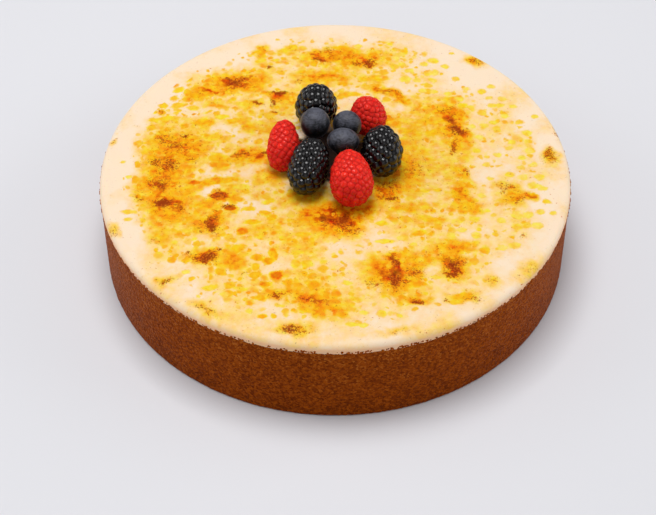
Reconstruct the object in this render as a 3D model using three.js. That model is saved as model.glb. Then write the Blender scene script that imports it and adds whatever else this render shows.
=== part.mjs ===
// A creme brulee cheesecake, 229 mm across: a biscuit crumb shell, a baked cream filling that runs
// over the shell's edge, and nine berries heaped in the middle. Millimetres, +Z up, and the
// origin is the centre of the underside.

import * as THREE from "three";
import { ConvexGeometry } from "three/addons/geometries/ConvexGeometry.js";
import { mergeVertices } from "three/addons/utils/BufferGeometryUtils.js";

// Driving dimensions of the cake
const cakeRadius = 114.5;
const footSpread = 0.8;
const cakeHeight = 48;
const lipHeight = 3.5;
const shoulderRadius = 3;
const wallThickness = 7;
const floorThickness = 7;
const rimSlope = 1.2;
const footBevel = 0.8;
const clearance = 0.3;
const roundSegments = 96;
const shoulderSteps = 4;

// Heights and radii that follow from them
const rimHeight = cakeHeight - lipHeight;
const footRadius = cakeRadius + footSpread;
const wallTopRadius = cakeRadius - wallThickness;
const wallFootRadius = footRadius - wallThickness;

// The berries made of drupelets: how many, how big one is, how much the body narrows towards the
// tip, and how deep the skin dips between drupelets, as a fraction of the body.
const brambleKind = { drupelets: 88, drupeletRadius: 2.4, taper: 0.06, core: 0.82 };
const raspberryKind = { drupelets: 104, drupeletRadius: 2.05, taper: 0.16, core: 0.84 };
const shoulderPoints = 5;
const shoulderShare = 0.27;

// The blueberries' crown: its radii as shares of the berry's, and its rise and dimple as shares of
// half the berry's height.
const crown = { outer: 0.42, rim: 0.3, floor: 0.2, rise: 0.05, dip: 0.16 };
const blueberrySteps = 11;
const blueberrySegments = 20;

const goldenAngle = Math.PI * (3 - Math.sqrt(5));
const degree = Math.PI / 180;

// The berries that stand on the filling: where, how long and wide, and which way the tip leans
// (degrees from upright, and the compass angle from +X).
const standingBerries = [
  { name: "raspberry_front", x: 7.6, y: -20.5, length: 28, width: 20.8, lean: 58, towards: 97, spin: 0 },
  { name: "raspberry_left", x: -25.1, y: 4.3, length: 26.4, width: 16.3, lean: 56, towards: 87, spin: 58 },
  { name: "raspberry_back", x: 16.4, y: 27, length: 20.6, width: 18.8, lean: 11, towards: 133, spin: 75 },
  { name: "bramble_back", x: -9.2, y: 31.3, length: 25.6, width: 21.6, lean: 13, towards: -81, spin: 20 },
  { name: "bramble_right", x: 22.5, y: -1.5, length: 25.6, width: 21.3, lean: 50, towards: 89, spin: 130 },
  { name: "bramble_front", x: -12.8, y: -11.6, length: 29.4, width: 19.7, lean: 57, towards: 72, spin: 95 },
];

// The blueberries perch in the middle, between the tips of the others: z is the centre's height
// over the filling, and the crown leans from upright towards a compass angle.
const blueberries = [
  { name: "blueberry_left", x: -9.8, y: 13.3, z: 17.3, length: 14.5, width: 15.1, lean: 95, towards: 140 },
  { name: "blueberry_back", x: 5.9, y: 15.1, z: 14.7, length: 13, width: 14.3, lean: 105, towards: 75 },
  { name: "blueberry_front", x: 3.9, y: 0.3, z: 17.2, length: 12.6, width: 15.6, lean: 140, towards: -95 },
];

const finishes = {
  crumb: new THREE.MeshStandardMaterial({ color: 0x8a4a20, roughness: 0.95, metalness: 0 }),
  cream: new THREE.MeshStandardMaterial({ color: 0xf7dfae, roughness: 0.5, metalness: 0 }),
  bramble: new THREE.MeshStandardMaterial({ color: 0x17111a, roughness: 0.25, metalness: 0 }),
  raspberry: new THREE.MeshStandardMaterial({ color: 0xc8201c, roughness: 0.45, metalness: 0 }),
  blueberry: new THREE.MeshStandardMaterial({ color: 0x2c3040, roughness: 0.6, metalness: 0 }),
};

// A turned solid from [radius, height] pairs, with the axis along +Z.
function turned(profile, segments) {
  const points = profile.map(([radius, height]) => new THREE.Vector2(radius, height));
  return new THREE.LatheGeometry(points, segments).rotateX(Math.PI / 2);
}

function piece(name, geometry, finish) {
  const mesh = new THREE.Mesh(geometry, finish);
  mesh.name = name;
  return mesh;
}

// The crumb shell: a floor and a wall, whose top edge slopes in under the filling's lip.
function crustShell() {
  const profile = [
    [0, 0],
    [footRadius - footBevel, 0],
    [footRadius, footBevel],
    [cakeRadius, rimHeight],
    [wallTopRadius, rimHeight - rimSlope],
    [wallFootRadius, floorThickness],
    [0, floorThickness],
  ];
  return piece("crust", turned(profile, roundSegments), finishes.crumb);
}

// The filling: it fills the shell, runs out over the wall and ends in a rounded shoulder.
function creamFilling() {
  const shoulder = [];
  for (let step = 0; step <= shoulderSteps; step += 1) {
    const turn = (step / shoulderSteps) * (Math.PI / 2);
    shoulder.push([
      cakeRadius - shoulderRadius + shoulderRadius * Math.cos(turn),
      cakeHeight - shoulderRadius + shoulderRadius * Math.sin(turn),
    ]);
  }
  const profile = [
    [0, floorThickness + clearance],
    [wallFootRadius - clearance, floorThickness + clearance],
    [wallTopRadius - clearance, rimHeight - rimSlope + clearance],
    [cakeRadius, rimHeight + clearance],
    ...shoulder,
    [0, cakeHeight],
  ];
  return piece("filling", turned(profile, roundSegments), finishes.cream);
}

// A point on a berry's body, where unit is a direction: an egg that narrows towards +Z.
function onBody(unit, berry, kind) {
  const girth = (berry.width / 2) * (1 - kind.taper * unit.z);
  return new THREE.Vector3(unit.x * girth, unit.y * girth, (unit.z * berry.length) / 2);
}

// Unit directions in the spiral in which drupelets sit round a berry.
function spiralDirections(count) {
  const directions = [];
  for (let index = 0; index < count; index += 1) {
    const height = 1 - (2 * index + 1) / count;
    const girth = Math.sqrt(1 - height * height);
    const turn = index * goldenAngle;
    directions.push(new THREE.Vector3(girth * Math.cos(turn), girth * Math.sin(turn), height));
  }
  return directions;
}

// The directions between three neighbouring drupelets, where the skin dips deepest.
function dipDirections(directions) {
  const corners = new ConvexGeometry(directions).getAttribute("position");
  const dips = [];
  for (let index = 0; index < corners.count; index += 3) {
    const [a, b, c] = [0, 1, 2].map((corner) =>
      new THREE.Vector3().fromBufferAttribute(corners, index + corner)
    );
    dips.push(b.sub(a).cross(c.sub(a)).normalize());
  }
  return dips;
}

// A ring of directions round one drupelet, on its shoulder.
function shoulderDirections(centre, angle) {
  const side = new THREE.Vector3(0, 0, 1).cross(centre).normalize();
  const rise = centre.clone().cross(side);
  const ring = [];
  for (let index = 0; index < shoulderPoints; index += 1) {
    const turn = (index / shoulderPoints) * 2 * Math.PI;
    const outward = side.clone().multiplyScalar(Math.cos(turn)).addScaledVector(rise, Math.sin(turn));
    ring.push(centre.clone().multiplyScalar(Math.cos(angle)).addScaledVector(outward, Math.sin(angle)));
  }
  return ring;
}

// How far the berry's skin lies from its centre along a direction: the outermost drupelet that
// the direction meets, or else the core.
function skinDistance(direction, drupelets, berry, kind) {
  const core = onBody(direction, berry, kind).multiplyScalar(kind.core).length();
  return drupelets.reduce((furthest, centre) => {
    const along = centre.dot(direction);
    const aside = centre.lengthSq() - along * along;
    const inside = kind.drupeletRadius ** 2 - aside;
    return along > 0 && inside > 0 ? Math.max(furthest, along + Math.sqrt(inside)) : furthest;
  }, core);
}

// A berry made of drupelets, as one closed skin round its own centre, tip along +Z.
function drupeletBerry(berry, kind) {
  const spiral = spiralDirections(kind.drupelets);
  const drupelets = spiral.map((unit) => {
    const centre = onBody(unit, berry, kind);
    return centre.setLength(centre.length() - kind.drupeletRadius);
  });
  const centres = drupelets.map((centre) => centre.clone().normalize());
  const neighbourAngle = Math.sqrt((8 * Math.PI) / (Math.sqrt(3) * kind.drupelets));
  const shoulderAngle = neighbourAngle * shoulderShare;
  const shoulders = centres.flatMap((centre) => shoulderDirections(centre, shoulderAngle));
  const net = new ConvexGeometry([...centres, ...shoulders, ...dipDirections(centres)]);
  net.deleteAttribute("normal");
  const skin = mergeVertices(net);
  const corners = skin.getAttribute("position");
  for (let index = 0; index < corners.count; index += 1) {
    const direction = new THREE.Vector3().fromBufferAttribute(corners, index).normalize();
    direction.multiplyScalar(skinDistance(direction, drupelets, berry, kind));
    corners.setXYZ(index, direction.x, direction.y, direction.z);
  }
  return skin;
}

// A blueberry: a flattened ball, with the ring of its crown round a shallow dimple at +Z.
function blueberryBody(berry) {
  const half = berry.length / 2;
  const girth = berry.width / 2;
  const crownAngle = Math.asin(crown.outer);
  const profile = [[0, -half]];
  for (let step = 1; step <= blueberrySteps; step += 1) {
    const turn = Math.PI - (step / blueberrySteps) * (Math.PI - crownAngle);
    profile.push([girth * Math.sin(turn), half * Math.cos(turn)]);
  }
  profile.push([girth * crown.rim, half * (1 + crown.rise)]);
  profile.push([girth * crown.floor, half * (1 - crown.dip)]);
  profile.push([0, half * (1 - crown.dip)]);
  return turned(profile, blueberrySegments);
}

// Turns a berry about its own axis, leans its tip over and puts it in its place.
function leaning(mesh, berry) {
  mesh.rotation.z = (berry.spin ?? 0) * degree;
  const holder = new THREE.Group();
  holder.add(mesh);
  holder.rotation.set(0, berry.lean * degree, berry.towards * degree, "ZYX");
  holder.position.set(berry.x, berry.y, 0);
  return holder;
}

// Lowers a berry until its lowest point rests on the filling.
function resting(holder) {
  holder.updateMatrixWorld(true);
  const lowest = new THREE.Box3().setFromObject(holder, true).min.z;
  holder.position.z = cakeHeight + clearance - lowest;
  return holder;
}

const cheesecake = new THREE.Group();
cheesecake.add(crustShell(), creamFilling());

for (const berry of standingBerries) {
  const isBramble = berry.name.startsWith("bramble");
  const kind = isBramble ? brambleKind : raspberryKind;
  const finish = isBramble ? finishes.bramble : finishes.raspberry;
  const mesh = piece(berry.name, drupeletBerry(berry, kind), finish);
  cheesecake.add(resting(leaning(mesh, berry)));
}

for (const berry of blueberries) {
  const mesh = piece(berry.name, blueberryBody(berry), finishes.blueberry);
  const holder = leaning(mesh, berry);
  holder.position.z = cakeHeight + berry.z;
  cheesecake.add(holder);
}

export default cheesecake;
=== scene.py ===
# A whole creme brulee cheesecake: a shell of pressed biscuit crumb, a baked cream filling with a
# torched top, and a heap of raspberries, brambles and blueberries in the middle. Metres, +Z up.

import math
import random

import bmesh
import bpy
import numpy as np
from mathutils import Matrix, Vector, noise


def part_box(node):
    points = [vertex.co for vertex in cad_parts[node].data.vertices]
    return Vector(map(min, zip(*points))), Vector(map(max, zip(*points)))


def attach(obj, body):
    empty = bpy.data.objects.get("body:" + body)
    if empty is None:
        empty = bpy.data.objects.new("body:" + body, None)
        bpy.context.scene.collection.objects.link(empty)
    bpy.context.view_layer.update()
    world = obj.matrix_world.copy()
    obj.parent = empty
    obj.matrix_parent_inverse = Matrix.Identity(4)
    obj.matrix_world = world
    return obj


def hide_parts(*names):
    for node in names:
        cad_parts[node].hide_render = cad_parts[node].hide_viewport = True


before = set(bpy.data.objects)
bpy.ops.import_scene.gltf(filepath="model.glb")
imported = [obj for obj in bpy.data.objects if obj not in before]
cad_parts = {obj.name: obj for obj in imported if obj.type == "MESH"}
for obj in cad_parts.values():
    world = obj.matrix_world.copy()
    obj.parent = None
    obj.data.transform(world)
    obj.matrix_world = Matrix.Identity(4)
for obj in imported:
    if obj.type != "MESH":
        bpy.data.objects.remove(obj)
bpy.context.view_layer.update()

MM = 0.001

# Of forty seeds, this one lets the noise move the torched marks least from their places
NOISE_SEED = 40
noise.seed_set(NOISE_SEED)

# The cake's sizes, as its solids have them
_, CRUST_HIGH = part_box("crust")
FILLING_LOW, FILLING_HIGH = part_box("filling")
FOOT_RADIUS = CRUST_HIGH.x
CAKE_RADIUS = FILLING_HIGH.x
CAKE_TOP = FILLING_HIGH.z
CRUST_RIM = CRUST_HIGH.z
WALL = 7 * MM
FLOOR = 7 * MM
FOOT_BEVEL = 0.8 * MM
RIM_SLOPE = 1.2 * MM
SHOULDER = 3 * MM

# The berries made of drupelets: how far a drupelet swells, as a share of the spacing, how long it
# is for its width, how uneven they are, how much the body narrows towards the tip, and the size of
# the core under the drupelets, as a share of the body.
BRAMBLE_KIND = {"swell": 0.53, "long": 1.08, "uneven": 0.3, "taper": 0.06, "core": 0.8}
RASPBERRY_KIND = {"swell": 0.6, "long": 0.95, "uneven": 0.25, "taper": 0.16, "core": 0.86}

# Where each berry stands, in mm from the cake's axis, how long and wide it is, how far its tip
# leans from upright, the compass angle that it leans towards, its turn on its own axis, and how
# many drupelets it has.
STANDING_BERRIES = {
    "raspberry_front": dict(
        x=7.6, y=-20.5, length=28, width=20.8, lean=58, towards=97, spin=0, drupelets=190),
    "raspberry_left": dict(
        x=-25.1, y=4.3, length=26.4, width=16.3, lean=56, towards=87, spin=58, drupelets=130),
    "raspberry_back": dict(
        x=16.4, y=27, length=20.6, width=18.8, lean=11, towards=133, spin=75, drupelets=118),
    "bramble_back": dict(
        x=-9.2, y=31.3, length=25.6, width=21.6, lean=13, towards=-81, spin=20, drupelets=76),
    "bramble_right": dict(
        x=22.5, y=-1.5, length=25.6, width=21.3, lean=50, towards=89, spin=130, drupelets=74),
    "bramble_front": dict(
        x=-12.8, y=-11.6, length=29.4, width=19.7, lean=57, towards=72, spin=95, drupelets=98),
}

# The blueberries lie between them: z is the centre's height over the cream, and it is the crown
# that leans.
BLUEBERRIES = {
    "blueberry_left": dict(x=-9.8, y=13.3, z=17.3, length=14.5, width=15.1, lean=95, towards=140),
    "blueberry_back": dict(x=5.9, y=15.1, z=14.7, length=13, width=14.3, lean=105, towards=75),
    "blueberry_front": dict(x=3.9, y=0.3, z=17.2, length=12.6, width=15.6, lean=140, towards=-95),
}

GOLDEN_ANGLE = math.pi * (3 - math.sqrt(5))

# The threads on a raspberry, in mm
THREAD_WIDTH = 0.12
THREAD_LENGTHS = (0.9, 2.2)

# The camera stands where the picture was taken from
CAMERA_PLACE = Vector((-0.0036, -0.5352, 0.5493))
CAMERA_ELEVATION = math.radians(46.55)
CAMERA_ROLL = math.radians(0.22)
CAMERA_LENS = 82.32

# The torched zones: centre x and y, half-length and half-width in mm, the turn of the long side in
# degrees, and how brown the zone is, from 0, pale, to 1, charred.
ZONES = [
    (-81, 14, 19, 17, 90, 0.5), (-81, -10, 19, 17, 95, 0.48), (-79, -28, 15, 15, 80, 0.5),
    (-68, 14, 14, 7, 100, 0.36), (-82, -46, 8, 6, 0, 0.28), (-84, 36, 12, 6, 10, 0.16),
    (-50, 65, 21, 11, 5, 0.58), (-38, 89, 8, 4, 80, 0.45), (-24, 91, 8, 4, 20, 0.38),
    (-70, 55, 8, 5, 20, 0.48), (-61, 57, 8, 4, 0, 0.44), (-60, 48, 9, 3, 10, 0.32),
    (-45, 47, 9, 5, 0, 0.26), (-29, 54, 8, 4, 160, 0.56), (-66, 34, 11, 6, 10, 0.32),
    (-47, 33, 10, 5, 160, 0.32), (-61, 21, 9, 5, 0, 0.24), (-42, 9, 12, 9, 20, 0.58),
    (-57, 4, 7, 6, 0, 0.42), (11, 85, 23, 10, 175, 0.58), (-8, 86, 13, 7, 0, 0.5),
    (-5, 69, 18, 8, 5, 0.5), (20, 67, 9, 5, 0, 0.36), (22, 59, 6, 4, 160, 0.56),
    (31, 56, 7, 4, 150, 0.58), (35, 50, 5, 6, 90, 0.52), (5, 55, 8, 4, 10, 0.52),
    (60, 30, 23, 8, 96, 0.58), (52, 20, 26, 14, 90, 0.2), (61, -10, 12, 6, 85, 0.44),
    (59, -20, 6, 5, 0, 0.5), (63, -28, 7, 5, 0, 0.42), (38, 16, 20, 8, 80, 0.3),
    (26, 36, 14, 9, 160, 0.4), (84, -18, 12, 9, 100, 0.42), (94, -20, 5, 4, 0, 0.44),
    (73, 82, 7, 5, 140, 0.5), (106, 8, 9, 5, 95, 0.36), (1, -38, 18, 12, 0, 0.62),
    (-8, -33, 15, 8, 10, 0.46), (24, -17, 8, 8, 0, 0.48), (34, -28, 9, 6, 160, 0.44),
    (44, -36, 7, 4, 0, 0.38), (25, -70, 17, 13, 150, 0.54), (27, -63, 8, 4, 90, 0.45),
    (40, -60, 14, 9, 20, 0.34), (54, -66, 11, 7, 100, 0.5), (58, -54, 12, 5, 170, 0.36),
    (56, -85, 9, 4, 10, 0.36), (36, -87, 7, 3, 10, 0.46), (-59, -9, 12, 4, 5, 0.54),
    (-46, -16, 10, 5, 160, 0.38), (-54, -20, 9, 4, 10, 0.5), (-59, -37, 11, 9, 20, 0.56),
    (-62, -25, 8, 5, 0, 0.44), (-60, -59, 11, 7, 0, 0.58), (-46, -64, 8, 5, 170, 0.44),
    (-12, -86, 14, 8, 170, 0.46), (-3, -92, 9, 4, 0, 0.44), (-28, -82, 8, 3, 10, 0.46),
    (-20, -52, 16, 8, 150, 0.28), (-35, -40, 13, 8, 20, 0.3), (-14, -21, 17, 9, 5, 0.38),
    (10, -29, 17, 9, 0, 0.42), (-31, -6, 10, 11, 0, 0.44), (-34, 30, 9, 14, 0, 0.28),
    (32, -6, 9, 14, 0, 0.5), (-24, 50, 9, 12, 0, 0.3), (46, -6, 17, 22, 0, 0.24),
    (48, 40, 14, 16, 0, 0.2), (-58, -92, 11, 5, 150, 0.22), (-20, -103, 12, 5, 175, 0.3),
    (26, -105, 13, 4, 10, 0.24), (88, -69, 11, 6, 40, 0.18), (71, -75, 7, 6, 0, 0.22),
    (-77, -75, 6, 4, 20, 0.18), (-104, -42, 7, 4, 120, 0.22), (-110, 20, 5, 3, 80, 0.22),
]

# The spots that char over: the same, but how dense the char is.
CHARRED = [
    (-75, 24, 3, 2.4, 0, 1.0), (-85, 22, 6, 5, 60, 0.5), (-79, 15, 6, 4, 20, 0.55),
    (-88, 6, 4, 3, 0, 0.6), (-81, 3, 6, 5, 30, 0.65), (-70, 8, 4, 3, 0, 0.4),
    (-86, -10, 6, 7, 20, 0.5), (-84, -13, 4, 3, 0, 0.6), (-94, -21, 3, 2, 0, 0.7),
    (-81, -25, 6, 3, 170, 1.0), (-74, -29, 3, 2, 0, 0.6), (-85, -50, 4, 3, 0, 0.5),
    (-104, -43, 4, 2, 120, 0.5), (-49, 66, 9, 5, 20, 0.6), (-55, 68, 3, 2, 0, 0.9),
    (-34, 76, 3, 2, 0, 0.9), (-27, 56, 6, 2, 165, 1.0), (-32, 49.5, 3, 2.4, 30, 1.0),
    (-40, 48, 3, 2, 0, 0.9), (-30, 42.5, 3, 1.8, 160, 0.9), (-17, 66, 3, 2, 0, 0.5),
    (-89, 41, 2, 1.5, 0, 0.7), (-100, 31, 3, 2, 0, 0.5), (-110, 20, 3, 2, 80, 0.6),
    (-36, 10, 3, 2.4, 30, 1.0), (-46, 10, 5, 3, 0, 0.5), (12.5, 79.5, 5, 2.4, 0, 0.9),
    (19, 80, 4, 3, 0, 0.9), (-8, 82, 3, 2, 0, 0.9), (-4, 91, 6, 3, 0, 0.5),
    (-12, 88, 2, 1.5, 0, 0.7), (74, 82, 5, 3, 140, 0.6), (29, 57, 7, 2.4, 160, 0.5),
    (59, 35, 4, 4, 90, 0.8), (61, 27, 3.4, 5, 90, 1.0), (59, 14, 3, 6, 0, 0.7),
    (57, 44, 4, 2.4, 20, 0.5), (64, -2, 4, 3, 0, 0.5), (40, 0, 6, 8, 0, 0.3),
    (106, 8, 7, 4, 95, 0.7), (111, 25, 7, 1.6, 100, 0.7), (83, -14, 6, 3, 170, 0.6),
    (87, -23, 4, 4, 0, 0.55), (94, -20, 3, 2, 0, 0.5), (87, -47, 3, 2, 0, 0.8),
    (3, -35.5, 3.4, 4, 0, 1.0), (6, -41, 7, 5, 150, 0.55), (-5, -38, 4, 3, 0, 0.5),
    (24, -14, 7, 6, 30, 0.45), (25, -21, 4, 2.4, 0, 0.8), (28, -76, 4, 6, 20, 0.85),
    (27, -63, 3, 6, 10, 0.6), (35, -70, 6, 5, 0, 0.5), (16, -77, 4, 3, 0, 0.45),
    (36, -87.5, 4, 1.8, 15, 1.0), (54, -66, 5, 8, 20, 0.75), (53, -70, 4, 3, 0, 1.0),
    (62, -85, 5, 3, 0, 0.6), (49, -87, 2, 1.4, 0, 0.8), (71, -75, 4, 4, 0, 0.4),
    (88, -68, 7, 3, 40, 0.3), (26, -106, 10, 2.4, 10, 0.35), (-50, -27.5, 4, 2, 10, 0.8),
    (-56, -19, 5, 2, 10, 0.7), (-59, -40, 6, 5, 0, 0.9), (-60, -60, 7, 4, 0, 0.9),
    (-53, -55, 2, 1.5, 0, 0.9), (-70, -57.5, 2, 1.4, 0, 0.8), (-42, -71.5, 1.6, 1.4, 0, 1.0),
    (-27, -82, 4, 1.5, 15, 0.7), (-12, -86, 10, 2.4, 175, 0.4), (-58, -92, 8, 2.4, 150, 0.6),
    (-21, -103, 3, 2.4, 0, 1.0), (-20, -104, 9, 2.8, 175, 0.55), (-77, -75, 4, 1.6, 20, 1.0),
    (-88, -71, 3, 1.4, 0, 0.4),
]

# Drops of sugar that browned alone: the same, but the last is how brown the drop itself is.
DROPS = [
    (-68, -10, 4, 1.6, 0, 0.66), (-60, -10, 6, 1.6, 5, 0.56), (-51, -8, 5, 1.8, 10, 0.5),
    (-45, -13, 4, 2, 0, 0.4), (-56, -19, 5, 2, 5, 0.66), (-47, -21.5, 3.4, 2.2, 0, 0.52),
    (-62, -26, 3.4, 2, 0, 0.48), (-50, -27.5, 3.6, 1.9, 10, 0.74), (-41, -28, 3, 2, 0, 0.42),
    (-57, -27, 2.4, 2, 0, 0.4), (-32, -23, 3.6, 2, 20, 0.42), (-39, -37, 4.4, 1.6, 5, 0.5),
    (-33, -31, 3.4, 1.7, 160, 0.5), (-30, -34, 2.6, 2, 0, 0.52), (-43.5, -43, 3.2, 2.4, 0, 0.62),
    (-35, -46, 2.8, 2, 0, 0.42), (-24, -47, 2.8, 1.6, 0, 0.36), (-14, -35, 3.4, 1.8, 20, 0.52),
    (-15, -45, 4.4, 1.4, 0, 0.48), (-45, -54, 3.8, 2.6, 20, 0.5), (-29, -58, 2, 4.4, 10, 0.54),
    (-36, -60, 3, 2.2, 0, 0.52), (-31, -62, 3, 2.4, 0, 0.56), (-46, -65, 3.4, 2.8, 0, 0.54),
    (-53, -69, 2.6, 2.4, 0, 0.52), (-37, -71, 3.4, 2.4, 0, 0.54), (-27, -71, 3.6, 3, 20, 0.64),
    (-32, -77, 3, 2, 0, 0.56), (-22, -76, 2.6, 2, 0, 0.48), (-10, -76.5, 3.2, 2.4, 0, 0.52),
    (-18.5, -64, 2.2, 2.8, 0, 0.36), (-13, -64, 3.4, 2.6, 0, 0.4), (-18, -57, 3.6, 1.7, 10, 0.34),
    (-57, -79, 3.8, 2, 5, 0.36), (-50, -83, 2.8, 2, 0, 0.34), (-43, -79.5, 4, 1.6, 170, 0.38),
    (-34, -85, 3.2, 2, 0, 0.5), (-33, -96, 2.2, 1.6, 0, 0.54), (-28, -96, 1.6, 1.3, 0, 0.44),
    (-39, -93, 2, 1.3, 0, 0.34), (-14, -92, 3, 2, 0, 0.46), (-2, -91, 3.6, 1.8, 0, 0.5),
    (2, -95, 3, 1.8, 0, 0.5), (5, -76, 2.6, 1.6, 0, 0.34), (9, -86, 2.6, 1.7, 0, 0.36),
    (-68, -69, 2.2, 1.7, 0, 0.34), (-58, 8, 4, 2.6, 20, 0.5), (-55, 2, 3.4, 2, 0, 0.5),
    (-61, 22, 5, 2.4, 10, 0.38), (-66, 34, 6, 2.8, 10, 0.48), (-51, 35, 3.6, 2, 0, 0.5),
    (-43, 31, 3.4, 1.8, 0, 0.5), (-57, 38, 4, 1.8, 10, 0.38), (-47, 48, 4, 2, 0, 0.38),
    (-80, 59, 3.4, 2, 30, 0.4), (-80, 47, 4, 2.2, 20, 0.4), (-72, 45, 3.6, 2, 0, 0.38),
    (-83, 37, 6, 2.2, 5, 0.42), (-91, 36, 3, 1.6, 0, 0.38), (-71, 55, 3.6, 2.6, 0, 0.6),
    (-38, 90, 1.8, 5, 10, 0.52), (-31, 83, 3, 1.7, 0, 0.4), (-24, 92, 5, 2, 20, 0.44),
    (-39, 82, 2.6, 1.6, 0, 0.4), (-15, 84, 3, 1.8, 0, 0.4), (4, 93, 5, 1.8, 0, 0.5),
    (15, 67, 3, 1.8, 0, 0.42), (22, 67, 3, 1.6, 0, 0.42), (10, 55, 4, 1.8, 0, 0.4),
    (48, 25, 4, 2.4, 30, 0.46), (35, 27, 3.6, 2.4, 0, 0.48), (65, 46, 3, 1.8, 0, 0.42),
    (63, -28, 3.6, 2.4, 20, 0.48), (59, -20, 3, 2.4, 0, 0.56), (45, -36, 3.8, 2, 0, 0.5),
    (39, -45, 4, 1.8, 10, 0.52), (43, -28, 3, 1.8, 0, 0.38), (43, -16, 3, 1.6, 0, 0.38),
    (49, -16, 2.6, 1.5, 0, 0.36), (22, -38, 3.4, 1.8, 0, 0.4), (23, -50, 5, 1.5, 0, 0.38),
    (94, -20, 3, 2, 0, 0.62), (86, -22, 2.6, 2, 0, 0.56), (57, -84, 4, 1.7, 10, 0.5),
    (53, -88, 3, 1.4, 0, 0.4), (7, -101, 3, 1.4, 0, 0.34), (12, -101.5, 2.4, 1.4, 0, 0.34),
    (45, -73, 2.6, 1.6, 0, 0.36), (-98, -30, 4, 1.6, 0, 0.34), (-98, -35, 2.4, 1.2, 0, 0.32),
]

# Where shade is painted near-black on the cream under the heap, in the gaps between the berries: centre x
# and y, half-length, half-width, turn.
HEAP_SHADE_OVAL = (-3, 8, 26, 23, 0)

# Small yellow freckles: centre x and y in mm, and how strong they are.
FRECKLES = [
    (13, 94, 1), (35, 88, 1), (32, 84, 1), (36, 79, 1), (39, 74, 1), (52, 82, 1.3), (47, 79, 1),
    (58, 77, 1), (52, 72, 1.3), (51, 66, 1), (43, 66, 1), (37, 67, 1.3), (63, 67, 1), (51, 57, 1),
    (45, 58, 1), (58, 55, 1), (64, 51, 1), (68, 59, 1), (76, 57, 1), (79, 52, 1), (86, 51, 1),
    (81, 61, 1), (75, 40, 1), (86, 38, 1), (80, 33, 1), (93, 33, 1), (75, 31, 1), (81, 27, 1),
    (80, 46, 1), (84, 46, 1), (91, 45, 1), (101, 37, 0.8), (96, 25, 1.2), (88, 18, 1), (96, 19, 1),
    (86, 14, 1), (92, 7, 1), (96, 12, 1.2), (97, 2, 1), (80, 9, 1), (85, -5, 1), (91, -7, 1.2),
    (99, -7, 1.2), (96, -13, 1.3), (100, -15, 1), (101, -24, 1), (57, -37, 1), (59, -42.5, 1),
    (54, -46, 1), (66, -46, 1.1), (70, -20, 1), (66, -36, 1), (78, -36.5, 1), (86, -33, 1.2),
    (91, -33, 1.2), (97, -31, 1), (103, -32, 0.8), (95, -40, 1.2), (90, -40, 1), (85, -41, 1.1),
    (77, -54.5, 1), (83, -53, 1.2), (20, -94, 1), (12, -94, 0.8), (28, -96, 0.6), (70, 12, 0.9),
    (72, 22, 1), (69, 30, 0.8), (74, 2, 0.9), (75, -8, 0.8), (72, -30, 0.8), (48, -50, 0.9),
    (-104, 5, 0.6), (-100, -6, 0.7), (-62, -84, 0.6), (-75, -50, 0.7), (-66, -48, 0.6),
    (-24, -90, 0.6), (30, -48, 0.8), (36, -52, 0.8), (-30, 100, 0.6), (30, 96, 0.8), (62, 88, 0.6),
]


# Plain steps of modelling

def select_only(*pieces):
    """Leaves edit mode and selects these objects alone, the last of them active."""
    if bpy.context.mode != "OBJECT":
        bpy.ops.object.mode_set(mode="OBJECT")
    bpy.ops.object.select_all(action="DESELECT")
    for piece in pieces:
        piece.select_set(True)
        bpy.context.view_layer.objects.active = piece


def new_piece(name):
    """Names the object that a primitive just made, with its place moved into its mesh."""
    piece = bpy.context.object
    piece.name = name
    piece.data.name = name
    bpy.ops.object.transform_apply(location=True, rotation=True, scale=True)
    return piece


def upright_face(name, left, right, bottom, top):
    """A face that stands over the X axis, between two radii and two heights."""
    select_only()
    bpy.ops.mesh.primitive_plane_add(
        size=1, rotation=(math.pi / 2, 0, 0), location=((left + right) / 2, 0, (bottom + top) / 2))
    bpy.context.object.scale = (right - left, top - bottom, 1)
    return new_piece(name)


def pick(kind, test):
    """In edit mode, selects only the verts, edges or faces that pass a test."""
    mesh = bpy.context.edit_object.data
    work = bmesh.from_edit_mesh(mesh)
    modes = {"verts": "VERT", "edges": "EDGE", "faces": "FACE"}
    bpy.ops.mesh.select_mode(type=modes[kind])
    bpy.ops.mesh.select_all(action="DESELECT")
    for part in getattr(work, kind):
        if test(part):
            part.select_set(True)
    work.select_flush_mode()
    bmesh.update_edit_mesh(mesh)


def extrude(*way):
    """In edit mode, extrudes what is selected along x, y and z."""
    bpy.ops.mesh.extrude_region_move(TRANSFORM_OT_translate={"value": way})


def spin_round(steps, wedges=10):
    """Spins the outline in edit mode once round the axis: one wedge first, and then its copies."""
    wedge = 2 * math.pi / wedges
    axis = {"center": (0, 0, 0), "axis": (0, 0, 1)}
    bpy.ops.mesh.select_all(action="SELECT")
    bpy.ops.mesh.spin(steps=steps // wedges, angle=wedge, **axis)
    bpy.ops.mesh.select_all(action="SELECT")
    bpy.ops.mesh.spin(steps=wedges - 1, angle=2 * math.pi - wedge, dupli=True, **axis)
    bpy.ops.mesh.select_all(action="SELECT")
    bpy.ops.mesh.remove_doubles(threshold=MM / 100)
    bpy.ops.mesh.normals_make_consistent(inside=False)


def finish_with(piece, kind, **settings):
    """Adds a modifier with its settings and applies it."""
    select_only(piece)
    modifier = piece.modifiers.new(kind.title(), kind)
    for setting, value in settings.items():
        setattr(modifier, setting, value)
    bpy.ops.object.modifier_apply(modifier=modifier.name)


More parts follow.
